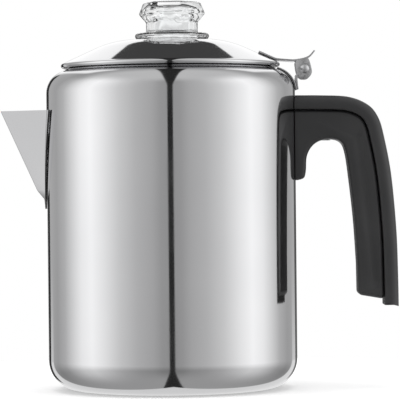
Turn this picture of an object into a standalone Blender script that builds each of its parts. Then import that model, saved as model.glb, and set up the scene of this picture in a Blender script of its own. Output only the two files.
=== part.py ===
"""Stovetop coffee percolator: pot, spout, handle, hinged lid, glass knob, pump stem and basket.

Metres, +Z up. The origin is on the pot's axis at its flat bottom. The spout points to -X, and the handle and
the lid's hinge are at +X. Every moving piece has its origin on its joint's axis.
"""

import math

import bmesh
import bpy
from mathutils import Matrix, Vector

MM = 0.001
GAP = 0.3 * MM  # left between pieces that touch on the real object
UP = (0, 0, 1)
ACROSS = (0, 1, 0)

# Pot
POT_R = 63.5 * MM
POT_WALL = 0.8 * MM
SHOULDER_R = 12.0 * MM
SHOULDER_Z = 150.9 * MM
CORNER_R = 15.0 * MM
RIM_R = 52.8 * MM
RIM_Z = 162.4 * MM
RIM_BEAD = 1.1 * MM

# Spout
SPOUT_TOP = 142.4 * MM
SPOUT_TIP_X = -87.4 * MM
SPOUT_BEND = (-68.9 * MM, 101.5 * MM)
SPOUT_FOOT = (-65.3 * MM, 97.3 * MM)
SPOUT_TOE = 92.3 * MM  # the flange's lower end
SPOUT_HALF = 15.5 * MM  # half its width where it meets the pot, at the top
SPOUT_POINT_Z = 91.9 * MM  # where the two folds would meet on the pot
FLANGE_HALF = 19.5 * MM
FLANGE_POINT_Z = 90.7 * MM  # where the flange's outer edges would meet
SHEET = 0.8 * MM
HOLE_R = 1.5 * MM
HOLE_PITCH = 4.6 * MM

# Handle
BAND = 7.2 * MM  # depth of the outer band
BAND_HALF = 11.0 * MM
WEB_HALF = 9.5 * MM
HEAD_TOP = 148.9 * MM
TONGUE_Z = 135.4 * MM
TONGUE_HALF = 5.5 * MM
TONGUE_SHEET = 1.5 * MM
TONGUE_END_X = 84.0 * MM
FOOT_Z = 112.9 * MM  # the lower end of the bracket's foot, which is welded to the pot
SEAT_Z = 129.9 * MM  # where the screw's washer bears, under the arch
SCREW_X = 78.0 * MM
SCREW_R = 2.0 * MM
SCREW_HEAD_R = 4.4 * MM
NUT_Z = 138.8 * MM  # the middle of the nut

# Lid and hinge
LID_WALL = 0.7 * MM
LID_BEAD = 1.2 * MM
LID_BEAD_R = 54.7 * MM
LID_BEAD_Z = 165.0 * MM
SKIRT_R = 51.0 * MM
SKIRT_Z = 160.9 * MM
LID_TOP = 178.1 * MM
KNOB_HOLE_R = 13.7 * MM
PIN = Vector((68.4 * MM, 0.0, 162.4 * MM))
PIN_R = 1.5 * MM
PIN_HEAD_R = 2.6 * MM
KNUCKLE_R = 2.7 * MM
KNUCKLE_HALF = 6.8 * MM
SEAT_HALF = 7.4 * MM
SEAT_SHEET = 0.6 * MM
EAR_INSIDE = 7.2 * MM
EAR_OUTSIDE = 8.0 * MM

# Knob
KNOB_X = 1.0 * MM  # the knob is loose in its hole, and rests against the hinge side
KNOB_TOP = 197.4 * MM
FLANGE_R = 18.9 * MM
FLANGE_DEEP = 3.0 * MM
THROAT_R = 12.2 * MM  # the glass skirt that goes down through the lid's hole
THROAT_Z = 170.7 * MM
LUG_END = 15.8 * MM  # the lugs' reach from the knob's axis
LUG_HALF = 2.5 * MM
CROWN_SIDES = 6
CROWN_TURN = math.radians(-72.0)  # the direction of one corner of the crown, from +X

# Stem and basket
STEM_R = 4.25 * MM
STEM_BORE = 3.6 * MM
STEM_TOP = 174.9 * MM
BASE_R = 33.0 * MM
STOP_TOP = 98.9 * MM
BASKET_R = 41.0 * MM
BASKET_TOP = 141.3 * MM
PERCOLATE_R = 1.25 * MM

ROUND = 48  # steps round the pot
INNER_ROUND = 32  # steps round the basket and the stem's foot
SMALL_ROUND = 24


def clear_scene():
    for item in list(bpy.data.objects):
        bpy.data.objects.remove(item, do_unlink=True)


def material(name, colour, roughness, metallic=0.0, clear=False):
    made = bpy.data.materials.new(name)
    made.use_nodes = True
    shader = made.node_tree.nodes["Principled BSDF"]
    shader.inputs["Base Color"].default_value = (*colour, 1.0)
    shader.inputs["Roughness"].default_value = roughness
    shader.inputs["Metallic"].default_value = metallic
    if clear:
        shader.inputs["Transmission Weight"].default_value = 1.0
        shader.inputs["IOR"].default_value = 1.5
    return made


def finish_mesh(name, bm, surface, smooth_angle=40.0):
    """Turns a bmesh into a named object, with outward faces and rounded shading."""
    bmesh.ops.remove_doubles(bm, verts=bm.verts, dist=1e-6)
    bmesh.ops.recalc_face_normals(bm, faces=bm.faces)
    mesh = bpy.data.meshes.new(name)
    bm.to_mesh(mesh)
    bm.free()
    mesh.shade_smooth()
    mesh.set_sharp_from_angle(angle=math.radians(smooth_angle))
    made = bpy.data.objects.new(name, mesh)
    bpy.context.scene.collection.objects.link(made)
    if surface:
        mesh.materials.append(surface)
    return made


def as_guide(made):
    """A cutter, or a shape that is joined into another one."""
    made.hide_render = True
    made.display_type = "WIRE"
    return made


def boolean(made, other, operation):
    as_guide(other)
    step = made.modifiers.new(operation.lower(), "BOOLEAN")
    step.operation = operation
    step.solver = "EXACT"
    step.object = other


def set_origin(made, point):
    """Moves the object's origin to a point of its joint's axis, and leaves the shape where it is."""
    made.data.transform(Matrix.Translation(-Vector(point)))
    made.location = point


def arc(centre, radius, start, end, steps):
    """Points of an arc in a profile's (r, z) plane, angles in degrees from the r direction."""
    found = []
    for step in range(steps + 1):
        angle = math.radians(start + (end - start) * step / steps)
        found.append((centre[0] + radius * math.cos(angle), centre[1] + radius * math.sin(angle)))
    return found


def curve_through(points, steps):
    """A smooth (Catmull-Rom) curve through the points, with its ends kept."""
    padded = [points[0], *points, points[-1]]
    found = []
    for before, here, there, after in zip(padded, padded[1:], padded[2:], padded[3:]):
        for step in range(steps):
            t = step / steps
            found.append(tuple(
                0.5 * (2 * b + (c - a) * t + (2 * a - 5 * b + 4 * c - d) * t ** 2
                       + (3 * b - a - 3 * c + d) * t ** 3)
                for a, b, c, d in zip(before, here, there, after)
            ))
    found.append(points[-1])
    return found


def offset(points, distance, closed=False):
    """The same line moved sideways, to its right as it is walked."""
    moved = []
    last = len(points) - 1
    for index, here in enumerate(points):
        before = Vector(points[index - 1 if closed else max(index - 1, 0)])
        after = Vector(points[(index + 1) % len(points) if closed else min(index + 1, last)])
        along = (after - before).normalized()
        moved.append((here[0] + along.y * distance, here[1] - along.x * distance))
    return moved


def turned(name, profile, surface, steps=ROUND, closed=True):
    """Spins an (r, z) profile about the Z axis. An open profile starts and ends on the axis."""
    bm = bmesh.new()
    corners = [bm.verts.new((r, 0, z)) for r, z in profile]
    pairs = list(zip(corners, corners[1:]))
    if closed:
        pairs.append((corners[-1], corners[0]))
    edges = [bm.edges.new(pair) for pair in pairs]
    bmesh.ops.spin(
        bm, geom=corners + edges, cent=(0, 0, 0), axis=UP, angle=math.tau, steps=steps,
        use_duplicate=False, use_merge=True,
    )
    return finish_mesh(name, bm, surface)


def slab(name, outline, low_y, high_y, surface, rounding=0.0):
    """An outline in the XZ plane, walked clockwise, given thickness along Y. rounding rounds its two rims."""
    layers = [(0.0, low_y), (0.0, high_y)]
    if rounding:
        layers = []
        for angle in (0, 30, 60, 90):
            inset = rounding * (1 - math.sin(math.radians(angle)))
            depth = rounding * (1 - math.cos(math.radians(angle)))
            layers.append((inset, low_y + depth))
        layers += [(inset, low_y + high_y - y) for inset, y in reversed(layers)]
    bm = bmesh.new()
    loops = []
    for inset, y in layers:
        loops.append([bm.verts.new((x, y, z)) for x, z in offset(outline, inset, closed=True)])
    for one, two in zip(loops, loops[1:]):
        for here in range(len(outline)):
            bm.faces.new((one[here - 1], one[here], two[here], two[here - 1]))
    bm.faces.new(loops[0])
    bm.faces.new(loops[-1])
    return finish_mesh(name, bm, surface)


def rod(name, centre, axis, radius, length, steps, surface=None):
    """A plain round bar, used for bosses, bores and holes."""
    bm = bmesh.new()
    bmesh.ops.create_cone(
        bm, cap_ends=True, segments=steps, radius1=radius, radius2=radius, depth=length,
        matrix=Matrix.Translation(centre) @ Vector(axis).to_track_quat("Z", "Y").to_matrix().to_4x4(),
    )
    return finish_mesh(name, bm, surface)


def rods(name, centres, axis, radius, length, steps):
    """Several separate round cutters in one object."""
    bm = bmesh.new()
    turn = Vector(axis).to_track_quat("Z", "Y").to_matrix().to_4x4()
    for centre in centres:
        bmesh.ops.create_cone(
            bm, cap_ends=True, segments=steps, radius1=radius, radius2=radius, depth=length,
            matrix=Matrix.Translation(centre) @ turn,
        )
    return finish_mesh(name, bm, None)


def block(name, low, high, surface=None):
    bm = bmesh.new()
    size = [b - a for a, b in zip(low, high)]
    centre = [(a + b) / 2 for a, b in zip(low, high)]
    bmesh.ops.create_cube(bm, size=1.0, matrix=Matrix.Translation(centre) @ Matrix.Diagonal((*size, 1.0)))
    return finish_mesh(name, bm, surface)


def ring_of_holes(radius, count, z):
    """The centres of holes spread evenly on a circle."""
    return [
        (radius * math.cos(math.tau * step / count), radius * math.sin(math.tau * step / count), z)
        for step in range(count)
    ]


# ---- pot -------------------------------------------------------------------------------------------------


def strainer_centres():
    """Rows of holes behind the spout: the rows get shorter towards its lower point."""
    found = []
    for row in range(7):
        z = SPOUT_TOP - 8 * MM - row * HOLE_PITCH
        half = spout_half(z) - HOLE_R - 1 * MM
        count = int(2 * half / HOLE_PITCH) + 1
        for step in range(count):
            found.append((-POT_R, (step - (count - 1) / 2) * HOLE_PITCH, z))
    return found


def pot_body(surface):
    inner_r = POT_R - POT_WALL
    shoulder = (POT_R - SHOULDER_R, SHOULDER_Z)
    corner = (POT_R - CORNER_R, CORNER_R)
    profile = [(0, POT_WALL)]
    profile += arc(corner, CORNER_R - POT_WALL, -90, 0, 4)
    profile += [(inner_r, SHOULDER_Z)]
    profile += arc(shoulder, SHOULDER_R - POT_WALL, 25, 75, 2)
    profile += arc((RIM_R, RIM_Z), RIM_BEAD, 270, 16, 6)
    profile += arc(shoulder, SHOULDER_R, 77, 0, 5)
    profile += arc(corner, CORNER_R, 0, -90, 4)
    profile += [(0, 0)]
    made = turned("pot_body", profile, surface, closed=False)
    holes = rods("strainer_cutter", strainer_centres(), (1, 0, 0), HOLE_R, 12 * MM, 8)
    boolean(made, holes, "DIFFERENCE")
    return made


def spout_half(z):
    """Half the channel's width where it meets the pot."""
    return SPOUT_HALF * (z - SPOUT_POINT_Z) / (SPOUT_TOP - SPOUT_POINT_Z)


def spout_front(z):
    """X of the front fold: the long edge, the short chamfer below its bend, and the toe flat on the pot."""
    corners = [(SPOUT_TIP_X, SPOUT_TOP), SPOUT_BEND, SPOUT_FOOT, (-POT_R - GAP - SHEET, SPOUT_TOE)]
    for (high_x, high_z), (low_x, low_z) in zip(corners, corners[1:]):
        if z >= low_z:
            break
    return low_x + (high_x - low_x) * (z - low_z) / (high_z - low_z)


def spout_section(z):
    """One level of the folded sheet's centre line: flange, fold, rounded front fold, fold, flange."""
    seat_r = POT_R + GAP + SHEET / 2
    front = spout_front(z) + SHEET / 2
    half = spout_half(z)
    flange = FLANGE_HALF * (z - FLANGE_POINT_Z) / (SPOUT_TOP - FLANGE_POINT_Z)
    half_line = []
    for width in (flange, (flange + half) / 2, half):
        half_line.append((-math.sqrt(seat_r ** 2 - width ** 2), width))
    fold_x, fold_y = half_line[-1]
    nose = min(0.12, 1.5 * MM / max(half, 1 * MM))
    half_line.append((front + (fold_x - front) * nose, fold_y * nose))
    return half_line + [(front, 0.0)] + [(x, -y) for x, y in reversed(half_line)]


def spout(surface):
    """The sheet is lofted level by level, with an inner and an outer skin joined along its edges."""
    levels = [SPOUT_TOE, SPOUT_FOOT[1], SPOUT_BEND[1], 114 * MM, 127 * MM, SPOUT_TOP]
    bm = bmesh.new()
    skins = []
    for side in (SHEET / 2, -SHEET / 2):
        skin = []
        for z in levels:
            line = offset(spout_section(z), side)
            skin.append([bm.verts.new((x, y, z)) for x, y in line])
        skins.append(skin)
    outer, inner = skins
    columns = len(outer[0])
    for level in range(len(levels) - 1):
        for column in range(columns - 1):
            for skin in skins:
                below, above = skin[level], skin[level + 1]
                bm.faces.new((below[column], below[column + 1], above[column + 1], above[column]))
        for column in (0, columns - 1):
            bm.faces.new((outer[level][column], outer[level + 1][column], inner[level + 1][column],
                          inner[level][column]))
    for level in (0, len(levels) - 1):
        for column in range(columns - 1):
            bm.faces.new((outer[level][column], outer[level][column + 1], inner[level][column + 1],
                          inner[level][column]))
    return finish_mesh("spout", bm, surface, 30)


# ---- handle ----------------------------------------------------------------------------------------------


def handle_back():
    """The handle's outer line in the XZ plane, from the pot along the top and down the back."""
    return curve_through([
        (58.0 * MM, HEAD_TOP), (76.0 * MM, 148.8 * MM), (90.6 * MM, 147.9 * MM), (100.4 * MM, 143.8 * MM),
        (105.7 * MM, 137.1 * MM), (108.7 * MM, 126.4 * MM), (112.0 * MM, 107.6 * MM), (114.3 * MM, 80.5 * MM),
        (115.0 * MM, 57.9 * MM), (115.2 * MM, 41.1 * MM),
    ], 4)


def pot_clearance(name):
    return rod(name, (0, 0, 126 * MM), UP, POT_R + GAP, 90 * MM, 96)


def handle_spine(surface):
    back = handle_back()
    inner = offset(back, BAND)
    inner[-1] = (inner[-1][0], inner[-1][1] + 2.0 * MM)
    made = slab("handle_spine", back + inner[::-1], -BAND_HALF, BAND_HALF, surface, 1.6 * MM)
    boolean(made, pot_clearance("spine_cutter"), "DIFFERENCE")
    return made


def handle_grip(surface):
    seam = offset(handle_back(), BAND + GAP)
    end_z = 44.9 * MM
    seam = [point for point in seam[:-1] if point[1] > end_z + 1 * MM] + [(seam[-1][0], end_z)]
    inside = curve_through([
        (94.3 * MM, 62.9 * MM), (93.0 * MM, 84.5 * MM), (90.9 * MM, 104.9 * MM), (88.8 * MM, 119.8 * MM),
        (85.8 * MM, 125.3 * MM), (79.0 * MM, 126.4 * MM), (72.8 * MM, 123.9 * MM), (69.2 * MM, 118.3 * MM),
        (68.5 * MM, 110.5 * MM), (67.5 * MM, 106.9 * MM), (64.4 * MM, 105.7 * MM),
    ], 3)
    outline = seam + [(94.5 * MM, 47.2 * MM)] + inside + [(58.0 * MM, 105.9 * MM)]
    made = slab("handle_grip", outline, -WEB_HALF, WEB_HALF, surface, 1.8 * MM)
    boolean(made, pot_clearance("grip_cutter"), "DIFFERENCE")
    pocket_half = TONGUE_HALF + 1 * MM
    pocket = block(
        "pocket_cutter", (60 * MM, -pocket_half, TONGUE_Z - 1 * MM),
        (TONGUE_END_X + 2 * MM, pocket_half, NUT_Z + 2.8 * MM),
    )
    foot = block(
        "foot_cutter", (60 * MM, -pocket_half - 0.8 * MM, FOOT_Z - 1 * MM),
        (66 * MM, pocket_half + 0.8 * MM, TONGUE_Z + 2.5 * MM),
    )
    screw_way = rod("screw_way_cutter", (SCREW_X, 0, SEAT_Z), UP, SCREW_R + 0.5 * MM, 16 * MM, 16)
    recess_middle = (SCREW_X, 0, SEAT_Z + GAP - 5 * MM)
    recess = rod("screw_head_cutter", recess_middle, UP, SCREW_HEAD_R + 0.8 * MM, 10 * MM, 20)
    for cutter in (pocket, foot, screw_way, recess):
        boolean(made, cutter, "DIFFERENCE")
    return made


def handle_bracket(surface):
    """An L of strip: a foot welded to the pot's wall, and a tongue that runs into the handle's head."""
    seat = POT_R + GAP
    tongue_top = TONGUE_Z + TONGUE_SHEET
    outline = [
        (seat, FOOT_Z), (seat + TONGUE_SHEET, FOOT_Z), (seat + TONGUE_SHEET, TONGUE_Z),
        (TONGUE_END_X, TONGUE_Z), (TONGUE_END_X, tongue_top), (seat, tongue_top),
    ]
    made = slab("handle_bracket", outline, -TONGUE_HALF, TONGUE_HALF, surface)
    screw_way = rod("tongue_cutter", (SCREW_X, 0, TONGUE_Z), UP, SCREW_R + 0.4 * MM, 8 * MM, 16)
    boolean(made, screw_way, "DIFFERENCE")
    return made


def handle_fasteners(surface):
    washer_low = SEAT_Z - 0.9 * MM
    head_top = washer_low - GAP
    head_low = SEAT_Z - 4.0 * MM
    end_z = NUT_Z + 2.0 * MM
    profile = [
        (0, head_low), (SCREW_HEAD_R - 1.2 * MM, head_low), (SCREW_HEAD_R, head_low + 1.2 * MM),
        (SCREW_HEAD_R, head_top), (SCREW_R, head_top), (SCREW_R, end_z), (0, end_z),
    ]
    screw = turned("handle_screw", profile, surface, 16, closed=False)
    washer_bore = SCREW_R + 0.35 * MM
    profile = [
        (SCREW_HEAD_R, washer_low), (washer_bore, washer_low), (washer_bore, SEAT_Z), (SCREW_HEAD_R, SEAT_Z),
    ]
    washer = turned("handle_washer", profile, surface, 16)
    nut = rod("handle_nut", (0, 0, NUT_Z), UP, 4.1 * MM, 3.0 * MM, 6, surface)
    boolean(nut, rod("nut_cutter", (SCREW_X, 0, NUT_Z), UP, SCREW_R + GAP, 8 * MM, 16), "DIFFERENCE")
    for made in (screw, washer, nut):
        made.location.x = SCREW_X


# ---- lid and hinge ---------------------------------------------------------------------------------------


def lid_dome():
    """The dome's outer line, from the knob's hole to the rim: a flat crown, then a nearly straight slope."""
    return [
        (KNOB_HOLE_R, LID_TOP), (20.0 * MM, LID_TOP), (27.0 * MM, 177.3 * MM), (33.9 * MM, 175.5 * MM),
        (40.0 * MM, 173.0 * MM), (47.0 * MM, 169.8 * MM), (53.9 * MM, 166.7 * MM),
    ]


def lid_shell(surface):
    outer = lid_dome()
    inner = offset(outer, LID_WALL)
    inner[0] = (KNOB_HOLE_R, LID_TOP - LID_WALL)
    bead = arc((LID_BEAD_R, LID_BEAD_Z), LID_BEAD, 50, -90, 4)
    skirt = [
        (SKIRT_R + 0.8 * MM, LID_BEAD_Z - LID_BEAD), (SKIRT_R, LID_BEAD_Z - 1.9 * MM), (SKIRT_R, SKIRT_Z),
        (SKIRT_R - LID_WALL, SKIRT_Z), (SKIRT_R - LID_WALL, LID_BEAD_Z - 0.6 * MM),
    ]
    made = turned("lid_shell", outer + bead + skirt + inner[:-1][::-1], surface, 40)
    reach = LUG_END + 0.6 * MM
    half = LUG_HALF + 0.7 * MM
    low = (KNOB_X - reach, -half, LID_TOP - 4 * MM)
    high = (KNOB_X + reach, half, LID_TOP + 4 * MM)
    boolean(made, block("notch_cutter", low, high), "DIFFERENCE")
    set_origin(made, PIN)
    return made


def hinge_leaf(surface):
    """One strip: it lies on the dome, runs out as an arm, carries the ears and ends in a thumb tab."""
    (high_r, high_z), (low_r, low_z) = lid_dome()[-3], lid_dome()[-1]
    normal = Vector((high_z - low_z, low_r - high_r)).normalized()
    upper = []
    for share in (0.32, 0.97):
        r = high_r + (low_r - high_r) * share
        z = high_z + (low_z - high_z) * share
        upper.append((r + normal.x * (GAP + SHEET), z + normal.y * (GAP + SHEET)))
    upper += [
        (62.8 * MM, 167.1 * MM), (67.6 * MM, 167.8 * MM), (70.8 * MM, 169.0 * MM), (73.2 * MM, 171.9 * MM),
    ]
    lower = offset(upper, SHEET)
    made = slab("hinge_leaf", upper + lower[::-1], -EAR_OUTSIDE + 0.1 * MM, EAR_OUTSIDE - 0.1 * MM, surface)
    ear = [
        (63.4 * MM, 166.8 * MM), (70.2 * MM, 168.2 * MM), (71.3 * MM, 164.7 * MM), (72.1 * MM, 161.2 * MM),
        (70.6 * MM, 158.6 * MM), (68.0 * MM, 157.4 * MM), (65.5 * MM, 158.2 * MM), (64.5 * MM, 160.5 * MM),
    ]
    for side, low in (("left", -EAR_OUTSIDE), ("right", EAR_INSIDE)):
        boolean(made, slab("ear_" + side, ear, low, low + EAR_OUTSIDE - EAR_INSIDE, None), "UNION")
    boolean(made, rod("ear_cutter", PIN, ACROSS, PIN_R + GAP, 30 * MM, 16), "DIFFERENCE")
    set_origin(made, PIN)
    return made


def hinge_pin(surface):
    """A rivet, turned about Z and then laid along the hinge's axis."""
    half = EAR_OUTSIDE + GAP
    profile = [(0, half + 1.2 * MM)]
    profile += [(1.3 * MM, half + 1.0 * MM), (2.2 * MM, half + 0.6 * MM), (PIN_HEAD_R, half), (PIN_R, half)]
    profile += [(r, -z) for r, z in reversed(profile)]
    made = turned("hinge_pin", profile, surface, 16, closed=False)
    made.data.transform(Matrix.Rotation(math.radians(90), 4, "X"))
    made.location = PIN
    return made


def shoulder_strip(first, last, inner_r, sheet):
    """The inner and the outer line of a strip that follows the shoulder's arc between two angles."""
    centre = (POT_R - SHOULDER_R, SHOULDER_Z)
    return arc(centre, inner_r, first, last, 5), arc(centre, inner_r + sheet, last, first, 5)


def hinge_seat(surface):
    """A plate welded on the pot's shoulder, under the hinge."""
    inner, outer = shoulder_strip(76, 4, SHOULDER_R + GAP, SEAT_SHEET)
    return slab("hinge_seat", outer + inner, -SEAT_HALF, SEAT_HALF, surface)


def hinge_bracket(surface):
    """A strip welded on the seat, folded up from its lower end into a strut that carries the knuckle."""
    inner, outer = shoulder_strip(24, 5, SHOULDER_R + SEAT_SHEET + 2 * GAP, SEAT_SHEET)
    strut = [
        (64.7 * MM, 157.3 * MM), (66.8 * MM, 160.5 * MM), (65.9 * MM, 161.8 * MM), (63.8 * MM, 159.3 * MM),
    ]
    outline = inner[::-1] + strut[::-1] + outer[2::-1]
    made = slab("hinge_bracket", outline, -KNUCKLE_HALF, KNUCKLE_HALF, surface)
    boolean(made, rod("knuckle", PIN, ACROSS, KNUCKLE_R, 2 * KNUCKLE_HALF + 0.2 * MM, 20), "UNION")
    boolean(made, rod("knuckle_cutter", PIN, ACROSS, PIN_R + GAP, 30 * MM, 16), "DIFFERENCE")
    return made


# ---- knob ------------------------------------------------------------------------------------------------


def crown_radius(radius, angle, facet):
    """The crown's plan is a polygon with rounded corners. facet is 0 for round, 1 for the polygon."""
    sector = math.tau / CROWN_SIDES
    from_middle = (angle - CROWN_TURN) % sector - sector / 2
    polygon = min(1.0, math.cos(sector / 2) / math.cos(from_middle) * 1.015)
    return radius * (1 - facet + facet * polygon)


def knob_rings():
    """Radius, height and how polygonal each ring is: down the outside, then up the hollow."""
    flange = LID_TOP + GAP
    flange_top = flange + FLANGE_DEEP
    inset = FLANGE_R - 0.9 * MM
    outside = [
        (13.2 * MM, KNOB_TOP, 1), (14.9 * MM, KNOB_TOP - 0.8 * MM, 1), (17.4 * MM, 191.2 * MM, 1),
        (13.7 * MM, 187.1 * MM, 0.4), (13.2 * MM, 186.1 * MM, 0), (13.2 * MM, flange_top + 1.2 * MM, 0),
        (14.2 * MM, flange_top + 0.3 * MM, 0), (inset, flange_top, 0), (FLANGE_R, flange_top - 0.9 * MM, 0),
        (FLANGE_R, flange + 0.8 * MM, 0), (inset, flange, 0), (THROAT_R, flange, 0), (THROAT_R, THROAT_Z, 0),
    ]
    hollow = [
        (9.8 * MM, THROAT_Z, 0), (9.4 * MM, 178.4 * MM, 0), (9.6 * MM, 186.5 * MM, 0),
        (11.8 * MM, 190.3 * MM, 0), (10.4 * MM, 193.1 * MM, 0), (6.0 * MM, 193.9 * MM, 0),
    ]
    return outside + hollow


def glass_knob(surface):
    bm = bmesh.new()
    loops = []
    for radius, z, facet in knob_rings():
        loop = []
        for step in range(SMALL_ROUND):
            angle = CROWN_TURN + math.tau * step / SMALL_ROUND
            r = crown_radius(radius, angle, facet)
            loop.append(bm.verts.new((r * math.cos(angle), r * math.sin(angle), z)))
        loops.append(loop)
    for one, two in zip(loops, loops[1:]):
        for step in range(SMALL_ROUND):
            after = (step + 1) % SMALL_ROUND
            bm.faces.new((one[step], one[after], two[after], two[step]))
    bm.faces.new(loops[0])
    bm.faces.new(loops[-1])
    made = finish_mesh("glass_knob", bm, surface, 25)
    lug_low = 173.7 * MM
    lug_high = LID_TOP - LID_WALL - GAP
    for side, sign in (("near", -1), ("far", 1)):
        ends = sorted((sign * 10.8 * MM, sign * LUG_END))
        lug = block("lug_" + side, (-LUG_HALF, ends[0], lug_low), (LUG_HALF, ends[1], lug_high))
        boolean(made, lug, "UNION")
    set_origin(made, (0, 0, LID_TOP))
    made.location.x = KNOB_X
    return made


# ---- stem and basket -------------------------------------------------------------------------------------


def stem_pieces(surface):
    tube_low = 12 * MM
    tube = [(STEM_R, STEM_TOP), (STEM_R, tube_low), (STEM_BORE, tube_low), (STEM_BORE, STEM_TOP)]
    turned("stem_tube", tube, surface, 20)
    wall = 0.7 * MM
    foot_z = POT_WALL + GAP
    collar_r = STEM_R + GAP
    bell = [
        (collar_r + wall, 24 * MM), (collar_r + wall, 15.0 * MM), (10 * MM, 12.2 * MM), (28 * MM, 7.0 * MM),
        (BASE_R - 1.2 * MM, 5.0 * MM), (BASE_R, 3.6 * MM), (BASE_R, foot_z), (BASE_R - wall, foot_z),
        (BASE_R - wall, 3.4 * MM), (BASE_R - 1.7 * MM, 4.4 * MM), (27.8 * MM, 6.3 * MM),
        (9.8 * MM, 11.5 * MM), (collar_r, 14.2 * MM), (collar_r, 24 * MM),
    ]
    base = turned("stem_base", bell, surface, INNER_ROUND)
    water_holes = ring_of_holes(24 * MM, 6, 8 * MM)
    boolean(base, rods("water_cutter", water_holes, UP, 2.2 * MM, 12 * MM, 10), "DIFFERENCE")
    stop = [
        (7 * MM, STOP_TOP - 0.6 * MM), (6.4 * MM, STOP_TOP - 3.6 * MM), (collar_r, STOP_TOP - 4.2 * MM),
        (collar_r, STOP_TOP), (6.4 * MM, STOP_TOP),
    ]
    turned("stem_stop", stop, surface, 20)


def basket_holes(z):
    found = []
    for radius, count in ((15, 6), (23, 10), (31, 14)):
        found += ring_of_holes(radius * MM, count, z)
    return found


def basket_pieces(surface):
    wall = 0.6 * MM
    bottom = STOP_TOP + GAP
    sleeve_in = STEM_R + 0.6 * MM
    sleeve = [
        (sleeve_in + wall, BASKET_TOP - wall), (sleeve_in + wall, bottom + wall), (9 * MM, bottom + wall),
        (9 * MM, bottom), (sleeve_in, bottom), (sleeve_in, BASKET_TOP - wall),
    ]
    turned("basket_tube", sleeve, surface, 20)
    floor_z = bottom + 0.6 * MM + GAP
    corner = (BASKET_R - 5 * MM, floor_z + 5 * MM)
    hole = sleeve_in + wall + GAP
    profile = arc((BASKET_R, BASKET_TOP - 0.9 * MM), 0.9 * MM, 180, -60, 4)
    profile += arc(corner, 5 * MM, 0, -90, 3)
    profile += [(hole, floor_z), (hole, floor_z + wall)]
    profile += arc(corner, 5 * MM - wall, -90, 0, 3)
    profile += [(BASKET_R - wall, BASKET_TOP - 2.4 * MM)]
    shell = turned("basket_shell", profile, surface, INNER_ROUND)
    holes = basket_holes(floor_z)
    boolean(shell, rods("basket_cutter", holes, UP, PERCOLATE_R, 6 * MM, 6), "DIFFERENCE")


def basket_cover(surface):
    wall = 0.6 * MM
    seat = BASKET_TOP + GAP
    rim_in = BASKET_R + 0.9 * MM + 0.4 * MM
    collar_in = STEM_R + 0.9 * MM
    profile = [
        (collar_in + wall, seat + 6 * MM), (collar_in + wall, seat + 3.6 * MM), (9 * MM, seat + 2.6 * MM),
        (36 * MM, seat + 2.0 * MM), (38 * MM, seat + wall), (rim_in + wall - 0.5 * MM, seat + wall),
        (rim_in + wall, seat), (rim_in + wall, seat - 3 * MM), (rim_in, seat - 3 * MM), (rim_in, seat),
        (37.6 * MM, seat), (35.8 * MM, seat + 1.4 * MM), (8.8 * MM, seat + 2.0 * MM),
        (collar_in, seat + 3.2 * MM), (collar_in, seat + 6 * MM),
    ]
    made = turned("basket_cover", profile, surface, INNER_ROUND)
    holes = rods("cover_cutter", basket_holes(seat + 2 * MM), UP, PERCOLATE_R, 6 * MM, 6)
    boolean(made, holes, "DIFFERENCE")
    return made


def build():
    clear_scene()
    mirror_steel = material("polished_steel", (0.78, 0.78, 0.79), 0.08, 1.0)
    hinge_steel = material("hinge_steel", (0.66, 0.66, 0.67), 0.25, 1.0)
    inner_steel = material("inner_steel", (0.70, 0.70, 0.71), 0.3, 1.0)
    plastic = material("black_plastic", (0.02, 0.02, 0.022), 0.4)
    glass = material("clear_glass", (0.95, 0.97, 0.97), 0.02, 0.0, True)
    pot_body(mirror_steel)
    spout(mirror_steel)
    handle_bracket(hinge_steel)
    handle_grip(plastic)
    handle_spine(plastic)
    handle_fasteners(hinge_steel)
    hinge_seat(hinge_steel)
    hinge_bracket(hinge_steel)
    lid_shell(mirror_steel)
    hinge_leaf(hinge_steel)
    hinge_pin(hinge_steel)
    glass_knob(glass)
    stem_pieces(inner_steel)
    basket_pieces(inner_steel)
    basket_cover(inner_steel)


build()
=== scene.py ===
"""Looks of a stovetop coffee percolator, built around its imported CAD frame.

Lengths are in millimetres until a mesh is made into a piece, and the frame is in metres. +Z is up, the spout
points to -X, and the handle and the lid's hinge are at +X. The camera looks along +Y.
"""
import math

import bmesh
import bpy
from mathutils import Matrix, Vector


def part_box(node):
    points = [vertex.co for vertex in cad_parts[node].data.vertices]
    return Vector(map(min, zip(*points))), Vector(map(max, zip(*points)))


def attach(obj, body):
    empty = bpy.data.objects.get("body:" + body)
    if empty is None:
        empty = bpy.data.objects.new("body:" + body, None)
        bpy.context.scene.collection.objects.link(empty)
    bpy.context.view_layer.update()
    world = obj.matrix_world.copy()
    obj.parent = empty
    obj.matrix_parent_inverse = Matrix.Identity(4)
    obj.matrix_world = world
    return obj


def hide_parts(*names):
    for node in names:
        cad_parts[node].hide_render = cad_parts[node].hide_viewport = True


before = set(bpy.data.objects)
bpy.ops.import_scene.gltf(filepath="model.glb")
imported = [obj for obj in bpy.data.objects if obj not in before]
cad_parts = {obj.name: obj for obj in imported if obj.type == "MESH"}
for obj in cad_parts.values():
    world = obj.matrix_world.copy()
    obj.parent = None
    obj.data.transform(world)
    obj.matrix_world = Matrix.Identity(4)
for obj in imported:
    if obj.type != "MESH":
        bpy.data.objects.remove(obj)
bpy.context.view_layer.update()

MM = 0.001
GAP = 0.3  # the air that the CAD model leaves between pieces that touch


def node_box(node):
    """The lowest and the highest corner of a CAD node, in millimetres."""
    low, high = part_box(node)
    return low / MM, high / MM


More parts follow.
